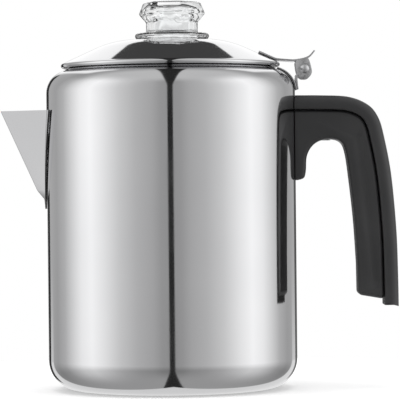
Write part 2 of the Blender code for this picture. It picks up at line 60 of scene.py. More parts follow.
# Sizes read from the frame
POT_HIGH = node_box("pot_body")[1]
POT_R = POT_HIGH.y
SPOUT_LOW, SPOUT_HIGH = node_box("spout")
LID_LOW, LID_HIGH = node_box("lid_shell")
KNOB_LOW, KNOB_HIGH = node_box("glass_knob")
PIN_LOW, PIN_HIGH = node_box("hinge_pin")
PIN = (PIN_LOW + PIN_HIGH) / 2
BASKET_LOW, BASKET_HIGH = node_box("basket_shell")
COVER_LOW, COVER_HIGH = node_box("basket_cover")
STOP_HIGH = node_box("stem_stop")[1]
TUBE_LOW, TUBE_HIGH = node_box("stem_tube")
BELL_LOW, BELL_HIGH = node_box("stem_base")
SCREW_LOW = node_box("handle_screw")[0]
SLEEVE_LOW, SLEEVE_HIGH = node_box("basket_tube")

# Pot
POT_WALL = 0.8
SHOULDER_R = 12.0
SHOULDER_Z = 150.9
CORNER_R = 15.0
RIM_R = 52.8
RIM_Z = 162.4
RIM_BEAD = 1.1

# Spout
SHEET = 0.8
SPOUT_BEND = (-68.9, 101.5)
SPOUT_FOOT = (-65.3, 97.3)
SPOUT_HALF = 15.5
SPOUT_POINT_Z = 91.9
FLANGE_HALF = 19.5
FLANGE_POINT_Z = 90.7
HOLE_R = 1.5
HOLE_PITCH = 4.6
HOLE_ROWS = 7
FIRST_ROW = 8.0  # below the spout's top

# Handle
BAND = 7.2
BAND_HALF = 11.0
BAND_SLANT = 2.2  # rise of its lower end towards the seam
WEB_HALF = 9.5
WEB_END_Z = 44.9
SEAT_Z = 129.9  # where the screw's washer is seated
RECESS_R = 5.2

# Lid and hinge
LID_WALL = 0.7
LID_BEAD = 1.2
LID_BEAD_R = 54.7
LID_BEAD_Z = 165.0
SKIRT_R = 51.0
CROWN_FLAT_R = 18.5
CROWN_CURVE_R = 48.0
LID_SLOPE = 24.6  # degrees down from level
DOME_END = (53.9, 166.7)  # radius and height where the dome meets its bead
LID_TOP = LID_HIGH.z
KNOB_HOLE_R = 13.7
NOTCH_REACH = 16.4  # from the knob's axis
NOTCH_HALF = 3.2
PIN_R = 1.5
KNUCKLE_R = 2.7
KNUCKLE_HALF = 6.8
SEAT_HALF = 7.4
SEAT_SHEET = 0.6
EAR_OUTSIDE = 8.0
EAR_SHEET = 0.8

# Knob
KNOB_X = (KNOB_LOW.x + KNOB_HIGH.x) / 2
CROWN_SIDES = 6
CROWN_TURN = -72.0  # degrees
CROWN_SHARP = 90  # higher is a tighter corner
LUG_REACH = (10.8, 15.8)  # from the knob's axis
LUG_HALF = 2.5
LUG_LOW_Z = 173.7

# Stem and basket
STEM_R = 4.25
STEM_BORE = 3.6
BELL_WALL = 0.7
BASKET_WALL = 0.6
SLEEVE_BORE = STEM_R + 0.6
HOLE_RINGS = ((15, 6), (23, 10), (31, 14))  # radius and number of holes
PERCOLATE_R = 1.25

FINE = 192  # steps round the pot and the lid
MIDDLE = 128  # steps round the basket, the stem's foot and the knob
SMALL = 64

# Camera
EYE = Vector((14.5, -1390.0, 105.7))
AIM = Vector((14.5, 0.0, 95.8))
LENS = 244.0
ROLL = -0.556  # degrees


# ---- mesh tools ------------------------------------------------------------------------------------------


def arc(centre, radius, start, end, steps):
    """Points of an arc, angles in degrees from the first axis."""
    angles = [math.radians(start + (end - start) * step / steps) for step in range(steps + 1)]
    return [(centre[0] + radius * math.cos(a), centre[1] + radius * math.sin(a)) for a in angles]


def curve_through(points, steps):
    """A smooth (Catmull-Rom) curve through the points, with its ends kept."""
    padded = [points[0], *points, points[-1]]
    found = []
    for before, here, there, after in zip(padded, padded[1:], padded[2:], padded[3:]):
        for step in range(steps):
            t = step / steps
            found.append(tuple(
                0.5 * (2 * b + (c - a) * t + (2 * a - 5 * b + 4 * c - d) * t ** 2
                       + (3 * b - a - 3 * c + d) * t ** 3)
                for a, b, c, d in zip(before, here, there, after)
            ))
    found.append(points[-1])
    return found


def offset(points, distance, closed=False):
    """The same line moved sideways, to its right as it is walked."""
    moved = []
    last = len(points) - 1
    for index, here in enumerate(points):
        before = Vector(points[index - 1 if closed else max(index - 1, 0)])
        after = Vector(points[(index + 1) % len(points) if closed else min(index + 1, last)])
        along = (after - before).normalized()
        moved.append((here[0] + along.y * distance, here[1] - along.x * distance))
    return moved


def rounded(points, radius, steps, closed=False):
    """The line with its corners rounded. A corner uses at most 0.45 of each line that meets there."""
    found = [] if closed else [points[0]]
    count = len(points)
    for index in range(count) if closed else range(1, count - 1):
        here = Vector(points[index])
        back = Vector(points[index - 1]) - here
        ahead = Vector(points[(index + 1) % count]) - here
        reach = min(radius, 0.45 * back.length, 0.45 * ahead.length)
        start = here + back.normalized() * reach
        end = here + ahead.normalized() * reach
        for step in range(steps + 1):
            t = step / steps
            found.append(tuple(start * (1 - t) ** 2 + here * 2 * t * (1 - t) + end * t ** 2))
    if not closed:
        found.append(points[-1])
    return found


def held(profile, margin=0.35):
    """Adds points close to the ends of long runs, so that smooth shading leaves the runs straight."""
    found = [profile[0]]
    for here, there in zip(profile, profile[1:]):
        here, there = Vector(here), Vector(there)
        length = (there - here).length
        if length > 6 * margin:
            share = margin / length
            found += [tuple(here.lerp(there, share)), tuple(here.lerp(there, 1 - share))]
        found.append(tuple(there))
    return found


def linked(name, bm):
    """A bmesh in millimetres becomes an object in metres, with its faces pointing out."""
    bmesh.ops.remove_doubles(bm, verts=bm.verts, dist=0.0005)
    bmesh.ops.recalc_face_normals(bm, faces=bm.faces)
    bmesh.ops.scale(bm, vec=(MM, MM, MM), verts=bm.verts)
    mesh = bpy.data.meshes.new(name)
    bm.to_mesh(mesh)
    bm.free()
    made = bpy.data.objects.new(name, mesh)
    bpy.context.scene.collection.objects.link(made)
    return made


def skin_rings(bm, pairs, steps):
    """Faces between each pair of rings. A ring of one point closes the shape."""
    for one, two in pairs:
        for step in range(steps):
            corners = [
                one[step % len(one)], one[(step + 1) % len(one)],
                two[(step + 1) % len(two)], two[step % len(two)],
            ]
            bm.faces.new(list(dict.fromkeys(corners)))


def turned(name, profile, steps, closed=True):
    """Spins an (r, z) profile about the Z axis. An open profile starts and ends on the axis."""
    bm = bmesh.new()
    profile = held(profile + profile[:1])[:-1] if closed else held(profile)
    rings = []
    for r, z in profile:
        turns = 1 if r < 1e-6 else steps
        ring = []
        for step in range(turns):
            angle = math.tau * step / steps
            ring.append(bm.verts.new((r * math.cos(angle), r * math.sin(angle), z)))
        rings.append(ring)
    pairs = list(zip(rings, rings[1:]))
    if closed:
        pairs.append((rings[-1], rings[0]))
    skin_rings(bm, pairs, steps)
    return linked(name, bm)


def slab(name, outline, low_y, high_y, rounding=0.0):
    """A clockwise outline in the XZ plane, given thickness along Y. rounding rounds its two rims."""
    bm = bmesh.new()
    low, high = [[bm.verts.new((x, y, z)) for x, z in outline] for y in (low_y, high_y)]
    for here in range(len(outline)):
        bm.faces.new((low[here - 1], low[here], high[here], high[here - 1]))
    bm.faces.new(low)
    bm.faces.new(high)
    made = linked(name, bm)
    if rounding:
        soften(made, rounding, 6, 60.0, clamp=False)
    return made


def rods(name, centres, axis, radius, length, steps=32):
    """Round bars, as cutters or bosses."""
    bm = bmesh.new()
    turn = Vector(axis).to_track_quat("Z", "Y").to_matrix().to_4x4()
    for centre in centres:
        bmesh.ops.create_cone(
            bm, cap_ends=True, segments=steps, radius1=radius, radius2=radius, depth=length,
            matrix=Matrix.Translation(centre) @ turn,
        )
    return linked(name, bm)


def block(name, low, high):
    """A box between two corners."""
    bm = bmesh.new()
    size = [b - a for a, b in zip(low, high)]
    centre = [(a + b) / 2 for a, b in zip(low, high)]
    bmesh.ops.create_cube(bm, size=1.0, matrix=Matrix.Translation(centre) @ Matrix.Diagonal((*size, 1.0)))
    return linked(name, bm)


def combine(made, others, operation="DIFFERENCE"):
    """Cuts the other shapes out of made, or joins them to it, and removes them."""
    for other in others:
        step = made.modifiers.new(operation, "BOOLEAN")
        step.operation = operation
        step.solver = "EXACT"
        step.object = other
    apply_modifiers(made)
    for other in others:
        bpy.data.objects.remove(other, do_unlink=True)


def apply_modifiers(made):
    graph = bpy.context.evaluated_depsgraph_get()
    made.data = bpy.data.meshes.new_from_object(made.evaluated_get(graph))
    made.modifiers.clear()


def soften(made, width, segments=2, angle=35.0, clamp=True):
    """A small rounding along every sharp edge."""
    step = made.modifiers.new("edges", "BEVEL")
    step.width = width * MM
    step.segments = segments
    step.limit_method = "ANGLE"
    step.angle_limit = math.radians(angle)
    step.miter_outer = "MITER_ARC"
    step.use_clamp_overlap = clamp
    apply_modifiers(made)


def paint(made, slot):
    """Gives the shape the material of one of the record's slots."""
    if made.data.materials:
        made.data.materials[0] = SURFACES[slot]
    else:
        made.data.materials.append(SURFACES[slot])


def piece(made, slot, body, node, sharp=35.0):
    """Gives the shape its material and shading, and puts it in its CAD node's place."""
    paint(made, slot)
    made.data.shade_smooth()
    made.data.set_sharp_from_angle(angle=math.radians(sharp))
    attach(made, body)
    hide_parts(node)


# ---- materials -------------------------------------------------------------------------------------------


class Surface:
    """A Principled material with small helpers for its procedural nodes."""

    def __init__(self, name, colour, roughness, metallic=0.0):
        self.material = bpy.data.materials.new(name)
        self.material.use_nodes = True
        self.tree = self.material.node_tree
        self.shader = self.tree.nodes["Principled BSDF"]
        self.set("Base Color", (*colour, 1.0))
        self.set("Roughness", roughness)
        self.set("Metallic", metallic)
        self.place = self.node("ShaderNodeTexCoord").outputs["Object"]

    def set(self, socket, value):
        self.shader.inputs[socket].default_value = value

    def node(self, kind, **values):
        made = self.tree.nodes.new(kind)
        for name, value in values.items():
            setattr(made, name, value)
        return made

    def link(self, output, target):
        self.tree.links.new(output, target)

    def stretched(self, x, y, z):
        """Object coordinates scaled along each axis, for grain that runs one way."""
        mapping = self.node("ShaderNodeMapping")
        self.link(self.place, mapping.inputs["Vector"])
        mapping.inputs["Scale"].default_value = (x, y, z)
        return mapping.outputs["Vector"]

    def noise(self, scale, detail=3.0, vector=None):
        made = self.node("ShaderNodeTexNoise")
        self.link(vector or self.place, made.inputs["Vector"])
        made.inputs["Scale"].default_value = scale
        made.inputs["Detail"].default_value = detail
        return made.outputs["Fac"]

    def ranged(self, factor, low, high, start=0.3, end=0.7):
        """Maps a pattern's middle values onto a range."""
        made = self.node("ShaderNodeMapRange")
        self.link(factor, made.inputs["Value"])
        made.inputs["From Min"].default_value = start
        made.inputs["From Max"].default_value = end
        made.inputs["To Min"].default_value = low
        made.inputs["To Max"].default_value = high
        return made.outputs["Result"]

    def rough(self, factor, low, high):
        self.link(self.ranged(factor, low, high), self.shader.inputs["Roughness"])

    def tint(self, factor, dark, light):
        made = self.node("ShaderNodeMix", data_type="RGBA")
        self.link(self.ranged(factor, 0.0, 1.0), made.inputs["Factor"])
        colour = next(s for s in made.outputs if s.type == "RGBA")
        sockets = [s for s in made.inputs if s.type == "RGBA"]
        sockets[0].default_value = (*dark, 1.0)
        sockets[1].default_value = (*light, 1.0)
        self.link(colour, self.shader.inputs["Base Color"])

    def bump(self, factor, strength, depth):
        """depth is the height in millimetres that the pattern's full range stands for."""
        made = self.node("ShaderNodeBump")
        self.link(factor, made.inputs["Height"])
        made.inputs["Strength"].default_value = strength
        made.inputs["Distance"].default_value = depth * MM
        self.link(made.outputs["Normal"], self.shader.inputs["Normal"])


def polished_steel():
    made = Surface("mirror_steel", (0.62, 0.62, 0.63), 0.06, 1.0)
    made.rough(made.noise(38.0), 0.045, 0.085)
    made.tint(made.noise(14.0), (0.605, 0.606, 0.615), (0.64, 0.64, 0.648))
    made.bump(made.noise(900.0, 2.0, made.stretched(1, 1, 6)), 0.25, 0.0006)
    return made.material


def hinge_steel():
    made = Surface("satin_sheet", (0.59, 0.59, 0.6), 0.3, 1.0)
    made.rough(made.noise(220.0), 0.24, 0.38)
    made.tint(made.noise(90.0), (0.54, 0.54, 0.55), (0.64, 0.64, 0.65))
    made.bump(made.noise(2400.0, 2.0, made.stretched(1, 8, 1)), 0.35, 0.004)
    return made.material


def inner_steel():
    made = Surface("satin_steel", (0.58, 0.58, 0.59), 0.3, 1.0)
    made.rough(made.noise(120.0), 0.2, 0.34)
    made.tint(made.noise(60.0), (0.54, 0.54, 0.545), (0.61, 0.61, 0.62))
    made.bump(made.noise(1500.0, 2.0, made.stretched(1, 1, 9)), 0.3, 0.003)
    return made.material


def black_plastic():
    made = Surface("satin_black", (0.02, 0.02, 0.021), 0.4)
    made.rough(made.noise(60.0), 0.36, 0.46)
    made.tint(made.noise(45.0), (0.024, 0.024, 0.025), (0.033, 0.033, 0.034))
    made.bump(made.noise(2600.0, 3.0), 0.35, 0.02)
    made.set("Specular IOR Level", 0.5)
    return made.material


def clear_glass():
    made = Surface("pressed_glass", (0.97, 0.98, 0.98), 0.0)
    made.set("Transmission Weight", 1.0)
    made.set("IOR", 1.5)
    made.tint(made.noise(40.0), (0.955, 0.965, 0.968), (0.985, 0.99, 0.992))
    made.bump(made.noise(160.0, 1.0), 0.4, 0.03)
    return made.material


# Dark painted shade: it stands for the shadow in the gap along the spout's edges, and is not a colour the
# steel has.
def painted_gap_shade():
    made = Surface("painted_gap_shade", (0.03, 0.03, 0.03), 0.5, 0.3)
    made.rough(made.noise(300.0), 0.45, 0.6)
    made.tint(made.noise(500.0), (0.02, 0.02, 0.02), (0.05, 0.048, 0.045))
    return made.material


# ---- pot -------------------------------------------------------------------------------------------------


def strainer_centres():
    """Rows of holes behind the spout: the rows get shorter towards its lower point."""
    found = []
    for row in range(HOLE_ROWS):
        z = SPOUT_HIGH.z - FIRST_ROW - row * HOLE_PITCH
        half = spout_half(z) - HOLE_R - 1
        count = int(2 * half / HOLE_PITCH) + 1
        for step in range(count):
            found.append((-POT_R, (step - (count - 1) / 2) * HOLE_PITCH, z))
    return found


def pot():
    inner_r = POT_R - POT_WALL
    shoulder = (POT_R - SHOULDER_R, SHOULDER_Z)
    corner = (POT_R - CORNER_R, CORNER_R)
    profile = [(0, POT_WALL)]
    profile += arc(corner, CORNER_R - POT_WALL, -90, 0, 12)
    profile += [(inner_r, SHOULDER_Z)]
    profile += arc(shoulder, SHOULDER_R - POT_WALL, 8, 76, 10)
    profile += arc((RIM_R, RIM_Z), RIM_BEAD, 270, 16, 16)
    profile += arc(shoulder, SHOULDER_R, 77, 0, 20)
    profile += arc(corner, CORNER_R, 0, -90, 18)
    profile += [(0, 0)]
    made = turned("polished_pot", profile, FINE, closed=False)
    combine(made, [rods("strainer_cutter", strainer_centres(), (1, 0, 0), HOLE_R, 12, 20)])
    return made


def spout_half(z):
    """Half the channel's width where it meets the pot."""
    return SPOUT_HALF * (z - SPOUT_POINT_Z) / (SPOUT_HIGH.z - SPOUT_POINT_Z)


def spout_front(z):
    """X of the front fold: the long edge, the short chamfer below its bend, and the toe flat on the pot."""
    tip = (SPOUT_LOW.x, SPOUT_HIGH.z)
    corners = [tip, SPOUT_BEND, SPOUT_FOOT, (-POT_R - GAP - SHEET, SPOUT_LOW.z)]
    for (high_x, high_z), (low_x, low_z) in zip(corners, corners[1:]):
        if z >= low_z:
            break
    return low_x + (high_x - low_x) * (z - low_z) / (high_z - low_z)


def spout_section(z):
    """One level of the folded sheet's centre line, with rounded folds."""
    seat_r = POT_R + GAP + SHEET / 2
    front = spout_front(z) + SHEET / 2
    half = spout_half(z)
    flange = FLANGE_HALF * (z - FLANGE_POINT_Z) / (SPOUT_HIGH.z - FLANGE_POINT_Z)
    line = []
    for width in (flange, flange * 0.75 + half * 0.25, (flange + half) / 2, half):
        line.append((-math.sqrt(seat_r ** 2 - width ** 2), width))
    line += [(front, 0.0)] + [(x, -y) for x, y in reversed(line)]
    return rounded(line, 0.7, 5)


def spout():
    """The sheet is lofted level by level, with two skins. Its welded edges are material 1: dark painted shade
    that stands for the shadow in the gap along them.
    """
    straight = [SPOUT_BEND[1] + 0.4 + (SPOUT_HIGH.z - SPOUT_BEND[1] - 0.4) * step / 12 for step in range(13)]
    levels = [SPOUT_LOW.z, 94.4, SPOUT_FOOT[1] - 0.3, SPOUT_FOOT[1] + 0.3, SPOUT_BEND[1] - 0.4, *straight]
    bm = bmesh.new()
    skins = []
    for side in (SHEET / 2, -SHEET / 2):
        skin = []
        for z in levels:
            skin.append([bm.verts.new((x, y, z)) for x, y in offset(spout_section(z), side)])
        skins.append(skin)
    outer, inner = skins
    last = len(outer[0]) - 1
    for level in range(len(levels) - 1):
        for column in range(last):
            for skin in skins:
                below, above = skin[level], skin[level + 1]
                bm.faces.new((below[column], below[column + 1], above[column + 1], above[column]))
        # The edge faces along the pot carry the dark painted shade of the gap.
        for column in (0, last):
            seam = bm.faces.new((outer[level][column], outer[level + 1][column], inner[level + 1][column],
                                 inner[level][column]))
            seam.material_index = 1
    for level in (0, len(levels) - 1):
        for column in range(last):
            bm.faces.new((outer[level][column], outer[level][column + 1], inner[level][column + 1],
                          inner[level][column]))
    return linked("folded_spout", bm)


# ---- handle ----------------------------------------------------------------------------------------------


def handle_back():
    """The handle's outer line in the XZ plane, from the pot along the top and down the back."""
    return curve_through([
        (58.0, 148.9), (76.0, 148.8), (90.6, 147.9), (100.4, 143.8), (105.7, 137.1), (108.7, 126.4),
        (112.0, 107.6), (114.3, 80.5), (115.0, 57.9), (115.2, 41.1),
    ], 12)


def band_section():
    """Depth and Y round the outer band: well rounded at the back, and nearly square at the seam."""
    section = arc((4.2, BAND_HALF - 4.2), 4.2, 180, 90, 7)
    section += arc((BAND - 0.9, BAND_HALF - 0.9), 0.9, 90, 0, 4)
    return section + [(depth, -y) for depth, y in reversed(section)]


def pot_cutter():
    return rods("pot_cutter", [(0, 0, 126)], (0, 0, 1), POT_R + GAP, 90, FINE)


def handle_band():
    """The section is swept along the back, and its lower end slants up towards the seam."""
    line = handle_back()
    section = band_section()
    bm = bmesh.new()
    loops = []
    for index, here in enumerate(line):
        before = Vector(line[max(index - 1, 0)])
        after = Vector(line[min(index + 1, len(line) - 1)])
        along = (after - before).normalized()
        loop = []
        for depth, y in section:
            slant = BAND_SLANT * depth / BAND if index == len(line) - 1 else 0.0
            loop.append(bm.verts.new((here[0] + along.y * depth, y, here[1] - along.x * depth + slant)))
        loops.append(loop)
    for one, two in zip(loops, loops[1:]):
        for step in range(len(section)):
            bm.faces.new((one[step - 1], one[step], two[step], two[step - 1]))
    bm.faces.new(loops[0])
    bm.faces.new(loops[-1])
    made = linked("handle_band", bm)
    combine(made, [pot_cutter()])
    soften(made, 0.35, 3, 50)
    return made


def handle_web():
    """The inner moulding: grip, arch and the foot that lies against the pot."""
    seam = offset(handle_back(), BAND + GAP)
    seam = [point for point in seam[:-1] if point[1] > WEB_END_Z + 1] + [(seam[-1][0], WEB_END_Z)]
    inside = curve_through([
        (94.3, 62.9), (93.0, 84.5), (90.9, 104.9), (88.8, 119.8), (85.8, 125.3), (79.0, 126.4), (72.8, 123.9),
        (69.2, 118.3), (68.5, 110.5), (67.5, 106.9), (64.4, 105.7),
    ], 8)
    outline = seam + [(94.5, 47.2)] + inside + [(58.0, 105.9)]
    made = slab("handle_web", outline, -WEB_HALF, WEB_HALF, 2.0)
    recess = rods("screw_recess", [(SCREW_LOW.x + 4.4, 0, SEAT_Z + GAP - 5)], (0, 0, 1), RECESS_R, 10, 48)
    combine(made, [pot_cutter(), recess])
    marks = rods("mould_marks", [(103.9, -WEB_HALF, 52.9), (95.5, -WEB_HALF, 126.6)], (0, 1, 0), 2.0, 0.3, 40)
    combine(made, [marks])
    soften(made, 0.12, 2, 50)
    return made


# ---- lid and hinge ---------------------------------------------------------------------------------------


def lid_dome(steps=28):
    """The dome's outer line: a flat crown, an arc, and a straight slope down to the bead."""
    crown = arc((CROWN_FLAT_R, LID_TOP - CROWN_CURVE_R), CROWN_CURVE_R, 90, 90 - LID_SLOPE, steps)
    return [(KNOB_HOLE_R, LID_TOP)] + crown + [DOME_END]


def lid():
    outer = lid_dome()
    inner = offset(outer, LID_WALL)
    inner[0] = (KNOB_HOLE_R, LID_TOP - LID_WALL)
    bead = arc((LID_BEAD_R, LID_BEAD_Z), LID_BEAD, 55, -90, 12)
    skirt = [
        (SKIRT_R + 0.8, LID_BEAD_Z - LID_BEAD), (SKIRT_R + 0.1, LID_BEAD_Z - 1.8),
        (SKIRT_R, LID_BEAD_Z - 2.3), (SKIRT_R, LID_LOW.z),
        (SKIRT_R - LID_WALL, LID_LOW.z), (SKIRT_R - LID_WALL, LID_BEAD_Z - 0.6),
    ]
    made = turned("domed_lid", outer + bead + skirt + inner[:-1][::-1], FINE)
    notch_low = (KNOB_X - NOTCH_REACH, -NOTCH_HALF, LID_TOP - 4)
    notch_high = (KNOB_X + NOTCH_REACH, NOTCH_HALF, LID_TOP + 4)
    combine(made, [block("notch_cutter", notch_low, notch_high)])
    return made


def hinge_strip():
    """One strip: it lies on the dome, runs out as an arm, carries the ears and ends in a thumb tab."""
    low = Vector(DOME_END)
    slope = Vector((math.cos(math.radians(LID_SLOPE)), -math.sin(math.radians(LID_SLOPE))))
    normal = Vector((-slope.y, slope.x))
    upper = []
    for back in (9.9, 0.4):
        upper.append(tuple(low - slope * back + normal * (GAP + SHEET)))
    upper += [(62.8, 167.1), (67.6, 167.8), (70.8, 169.0), (73.2, 171.9)]
    upper = rounded(upper, 1.6, 6)
    half = EAR_OUTSIDE - 0.1
    made = slab("hinge_strip", upper + offset(upper, SHEET)[::-1], -half, half)
    ear = rounded([
        (63.4, 166.8), (70.2, 168.2), (71.4, 164.7), (72.3, 160.3), (70.2, 157.3), (65.9, 157.3),
        (64.2, 160.7),
    ], 2.2, 6, closed=True)
    ears = [slab("ear", ear, side, side + EAR_SHEET) for side in (-EAR_OUTSIDE, EAR_OUTSIDE - EAR_SHEET)]
    combine(made, ears, "UNION")
    combine(made, [rods("ear_cutter", [PIN], (0, 1, 0), PIN_R + GAP, 30)])
    soften(made, 0.14)
    return made


def hinge_rivet():
    """Turned about Z, and then laid along the hinge's axis."""
    half = EAR_OUTSIDE + GAP
    head = arc((0, half - 1.53), 2.73, 90, 34, 8)
    profile = head + [(2.6, half + 0.05), (2.45, half), (PIN_R, half)]
    profile += [(r, -z) for r, z in reversed(profile)]
    made = turned("hinge_rivet", profile, SMALL, closed=False)
    made.data.transform(Matrix.Translation(PIN * MM) @ Matrix.Rotation(math.radians(90), 4, "X"))
    return made


def shoulder_strip(first, last, inner_r, sheet, steps=16):
    """The inner and the outer line of a strip that follows the shoulder's arc between two angles."""
    centre = (POT_R - SHOULDER_R, SHOULDER_Z)
    return arc(centre, inner_r, first, last, steps), arc(centre, inner_r + sheet, last, first, steps)


def hinge_plate():
    inner, outer = shoulder_strip(76, 4, SHOULDER_R + GAP, SEAT_SHEET)
    made = slab("hinge_plate", outer + inner, -SEAT_HALF, SEAT_HALF)
    soften(made, 0.12)
    return made


def hinge_strut():
    """A strip on the plate, folded up from its lower end into a strut that carries the knuckle."""
    inner, outer = shoulder_strip(24, 5, SHOULDER_R + SEAT_SHEET + 2 * GAP, SEAT_SHEET)
    strut = [(64.7, 157.3), (66.8, 160.5), (65.9, 161.8), (63.8, 159.3)]
    made = slab("hinge_strut", inner[::-1] + strut[::-1] + outer[6::-1], -KNUCKLE_HALF, KNUCKLE_HALF)
    knuckle = rods("knuckle", [PIN], (0, 1, 0), KNUCKLE_R, 2 * KNUCKLE_HALF + 0.2, SMALL)
    combine(made, [knuckle], "UNION")
    combine(made, [rods("knuckle_cutter", [PIN], (0, 1, 0), PIN_R + GAP, 30, 48)])
    soften(made, 0.12)
    return made


# ---- knob ------------------------------------------------------------------------------------------------


def crown_radius(radius, angle, facet):
    """The crown's plan is a polygon with rounded corners. facet is 0 for round, 1 for the polygon."""
    sector = math.tau / CROWN_SIDES
    from_middle = (angle - math.radians(CROWN_TURN)) % sector - sector / 2
    flat = math.cos(sector / 2) / math.cos(from_middle)
    polygon = 1 - math.log(1 + math.exp((1 - flat * 1.02) * CROWN_SHARP)) / CROWN_SHARP
    return radius * (1 - facet + facet * polygon)


def knob_rings():
    """Radius, height and how polygonal each ring is: down the outside, then up the hollow."""
    top = KNOB_HIGH.z
    flange = LID_TOP + GAP
    flange_top = flange + 3.0
    rings = [(0.0, top, 1), (12.6, top, 1)]
    rings += [(r, z, 1) for r, z in rounded([(12.6, top), (14.9, top - 0.3), (17.3, 191.2)], 1.2, 4)[1:-1]]
    rings += [(r, z, 1) for r, z in rounded([(14.9, top - 0.3), (17.3, 191.2), (13.9, 187.3)], 0.5, 3)[1:-1]]
    rings += [(13.9, 187.3, 0.7), (13.4, 186.6, 0.25), (13.2, 185.9, 0), (13.2, flange_top + 1.4, 0)]
    rings += [(r, z, 0) for r, z in arc((14.5, flange_top + 1.3), 1.3, 180, 270, 5)]
    rings += [(r, z, 0) for r, z in arc((17.4, flange_top - 1.5), 1.5, 90, -90, 12)]
    rings += [(12.4, flange, 0), (12.2, flange - 0.2, 0)]
    rings += [(12.2, 171.1, 0), (11.8, 170.7, 0), (10.2, 170.7, 0)]
    rings += [(9.8, 171.1, 0), (9.4, 178.4, 0), (9.6, 185.9, 0)]
    hollow = curve_through([(9.9, 187.5), (11.8, 190.3), (10.4, 193.1), (6.0, 193.9)], 4)
    rings += [(r, z, 0) for r, z in hollow]
    rings += [(0.0, 194.1, 0)]
    return rings


def knob():
    bm = bmesh.new()
    loops = []
    for radius, z, facet in knob_rings():
        count = 1 if radius == 0 else MIDDLE
        loop = []
        for step in range(count):
            angle = math.radians(CROWN_TURN) + math.tau * step / MIDDLE
            r = crown_radius(radius, angle, facet)
            loop.append(bm.verts.new((KNOB_X + r * math.cos(angle), r * math.sin(angle), z)))
        loops.append(loop)
    skin_rings(bm, zip(loops, loops[1:]), MIDDLE)
    made = linked("faceted_knob", bm)
    lug_top = LID_TOP - LID_WALL - GAP
    lugs = []
    for side in (-1, 1):
        near, far = sorted(side * reach for reach in LUG_REACH)
        lug = block("lug", (KNOB_X - LUG_HALF, near, LUG_LOW_Z), (KNOB_X + LUG_HALF, far, lug_top))
        soften(lug, 0.4, 3)
        lugs.append(lug)
    combine(made, lugs, "UNION")
    return made


# ---- stem and basket -------------------------------------------------------------------------------------


def ring_of_holes(radius, count, z):
    angles = [math.tau * step / count for step in range(count)]
    return [(radius * math.cos(angle), radius * math.sin(angle), z) for angle in angles]


def basket_holes(z):
    found = []
    for radius, count in HOLE_RINGS:
        found += ring_of_holes(radius, count, z)
    return found


def stem_tube():
    lip = (STEM_R - STEM_BORE) / 2
    middle = (STEM_R + STEM_BORE) / 2
    profile = arc((middle, TUBE_HIGH.z - lip), lip, 180, 0, 8)
    profile += arc((middle, TUBE_LOW.z + lip), lip, 0, -180, 8)
    return turned("pump_tube", profile, SMALL)


def stem_bell():
    wall = BELL_WALL
    edge = BELL_HIGH.y
    collar = STEM_R + GAP
    outer = rounded([
        (collar + wall, BELL_HIGH.z), (collar + wall, 15.0), (10, 12.2), (28, 7.0), (edge - 1.2, 5.0),
        (edge, 3.6), (edge, BELL_LOW.z),
    ], 1.5, 5)
    inner = rounded([
        (edge - wall, BELL_LOW.z), (edge - wall, 3.4), (edge - 1.7, 4.4), (27.8, 6.3), (9.8, 11.5),
        (collar, 14.2), (collar, BELL_HIGH.z),
    ], 1.5, 5)
    made = turned("pump_bell", outer + inner, MIDDLE)
    combine(made, [rods("water_cutter", ring_of_holes(24, 6, 8), (0, 0, 1), 2.2, 12, 32)])
    return made


def stem_stop():
    top = STOP_HIGH.z
    collar = STEM_R + GAP
    profile = rounded([
        (7, top - 0.6), (6.4, top - 3.6), (collar, top - 4.2), (collar, top), (6.4, top),
    ], 0.4, 3, closed=True)
    return turned("stem_collar", profile, SMALL)


def basket_sleeve():
    bottom = SLEEVE_LOW.z
    top = SLEEVE_HIGH.z
    flange_z = bottom + BASKET_WALL
    outside = SLEEVE_BORE + BASKET_WALL
    profile = rounded([
        (outside, top), (outside, flange_z), (9, flange_z), (9, bottom), (SLEEVE_BORE, bottom),
        (SLEEVE_BORE, top),
    ], 0.25, 3, closed=True)
    return turned("basket_sleeve", profile, SMALL)


def basket():
    wall = BASKET_WALL
    floor_z = BASKET_LOW.z
    rim_r = BASKET_HIGH.y - 0.9
    corner = (rim_r - 5, floor_z + 5)
    hole = SLEEVE_BORE + wall + GAP
    profile = arc((rim_r, BASKET_HIGH.z - 0.9), 0.9, 180, -60, 14)
    profile += arc(corner, 5, 0, -90, 10)
    profile += [(hole, floor_z), (hole, floor_z + wall)]
    profile += arc(corner, 5 - wall, -90, 0, 10)
    profile += [(rim_r - wall, BASKET_HIGH.z - 2.4)]
    made = turned("coffee_basket", profile, MIDDLE)
    combine(made, [rods("basket_cutter", basket_holes(floor_z), (0, 0, 1), PERCOLATE_R, 6, 16)])
    return made


def basket_lid():
    wall = BASKET_WALL
    seat = BASKET_HIGH.z + GAP
    rim = COVER_HIGH.y
    collar = STEM_R + 0.9
    outer = rounded([
        (collar + wall, COVER_HIGH.z), (collar + wall, seat + 3.6), (9, seat + 2.6), (36, seat + 2.0),
        (38, seat + wall), (rim - 0.5, seat + wall), (rim, seat), (rim, COVER_LOW.z),
    ], 0.8, 4)
    inner = rounded([
        (rim - wall, COVER_LOW.z), (rim - wall, seat), (37.6, seat), (35.8, seat + 1.4), (8.8, seat + 2.0),
        (collar, seat + 3.2), (collar, COVER_HIGH.z),
    ], 0.4, 3)
    made = turned("spreader_plate", outer + inner, MIDDLE)
    combine(made, [rods("cover_cutter", basket_holes(seat + 2), (0, 0, 1), PERCOLATE_R, 6, 16)])
    return made


# ---- stage -----------------------------------------------------------------------------------------------


def maths(tree, operation, first, second=0.0, third=0.0):
    """A Math node, whose inputs are numbers or other nodes' outputs."""
    made = tree.nodes.new("ShaderNodeMath")
    made.operation = operation
    for socket, given in zip(made.inputs, (first, second, third)):
        if isinstance(given, bpy.types.NodeSocket):
            tree.links.new(given, socket)
        else:
            socket.default_value = given
    return made.outputs[0]


